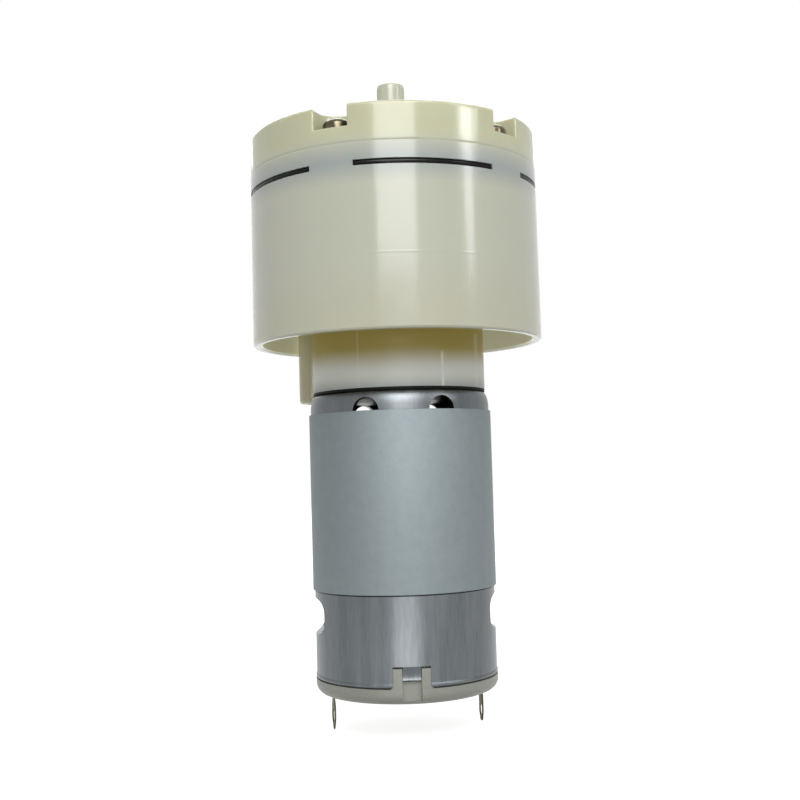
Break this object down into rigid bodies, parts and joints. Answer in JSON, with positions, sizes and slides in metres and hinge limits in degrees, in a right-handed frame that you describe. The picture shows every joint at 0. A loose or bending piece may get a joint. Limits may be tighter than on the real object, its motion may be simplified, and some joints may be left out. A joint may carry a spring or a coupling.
{
  "type": "mini air pump",
  "caption": "Small round diaphragm air pump with a plastic wobble-plate head and two hose nozzles on a cylindrical brushed DC motor with blade terminals.",
  "frame": {"origin": "on the motor shaft's axis, at the middle of the steel ring round the motor", "axes": "+Z along the shaft from the motor to the pump head and its outlet nozzle, -Y to the front where a key of the end cap shows, +X to the right seen from the front"},
  "size_m": [0.0588, 0.0588, 0.1311],
  "materials": {
    "can_steel": "zinc plated, with fine lengthwise drawing marks",
    "ring_steel": "matte zinc",
    "cap_plastic": "satin",
    "terminal_brass": "dull tinned",
    "holder_brass": "satin",
    "carbon": "matte",
    "spring_steel": "satin",
    "magnet_ferrite": "matte",
    "bearing_bronze": "matte",
    "seal_rubber": "matte",
    "shaft_steel": "ground",
    "core_steel": "matte",
    "copper": "enamelled",
    "dark_resin": "matte",
    "washer_fibre": "matte",
    "works_plastic": "satin",
    "case_plastic": "half gloss, slightly translucent",
    "diaphragm_rubber": "satin",
    "screw_steel": "nickel plated"
  },
  "bodies": {
    "housing": {"motor_can": "can_steel", "flux_ring": "ring_steel", "end_cap": "cap_plastic", "terminal_left": "terminal_brass", "terminal_right": "terminal_brass", "brush_holder_left": "holder_brass", "brush_holder_right": "holder_brass", "brush_spring_left": "spring_steel", "brush_spring_right": "spring_steel", "magnet_left": "magnet_ferrite", "magnet_right": "magnet_ferrite", "magnet_clips": "spring_steel", "front_bearing": "bearing_bronze", "rear_bearing": "bearing_bronze", "motor_seal": "seal_rubber", "pump_housing": "case_plastic", "motor_screws": "screw_steel", "diaphragm_seat": "works_plastic", "diaphragm": "diaphragm_rubber", "valve_plate": "case_plastic", "inlet_valves": "seal_rubber", "outlet_valve": "seal_rubber", "cover_seal": "seal_rubber", "top_cover": "case_plastic", "cover_screws": "screw_steel"},
    "rotor": {"motor_shaft": "shaft_steel", "armature_core": "core_steel", "windings": "copper", "commutator": "copper", "commutator_core": "dark_resin", "shaft_washers": "washer_fibre", "eccentric": "works_plastic", "crank_pin": "shaft_steel"},
    "wobble": {"wobble_plate": "works_plastic"},
    "brush_left": {"brush_left": "carbon"},
    "brush_right": {"brush_right": "carbon"}
  },
  "joints": [
    {"name": "rotor_spin", "type": "hinge", "parent": "housing", "child": "rotor", "pos_m": [0, 0, 0], "axis": [0, 0, 1], "continuous": true},
    {"name": "wobble_turn", "type": "hinge", "parent": "rotor", "child": "wobble", "pos_m": [0, 0, 0.0515], "axis": [0.0872, 0, 0.9962], "continuous": true, "deforming": ["diaphragm"]},
    {"name": "brush_left_slide", "type": "slide", "parent": "housing", "child": "brush_left", "axis": [-0.9903, -0.1392, 0], "range_m": [0, 0.0015], "stiffness_N_per_m": 60, "springref_m": -0.004, "deforming": ["brush_spring_left"]},
    {"name": "brush_right_slide", "type": "slide", "parent": "housing", "child": "brush_right", "axis": [0.9903, 0.1392, 0], "range_m": [0, 0.0015], "stiffness_N_per_m": 60, "springref_m": -0.004, "deforming": ["brush_spring_right"]}
  ],
  "couplings": [
    {"joint": "wobble_turn", "follows": "rotor_spin", "ratio": -1}
  ]
}
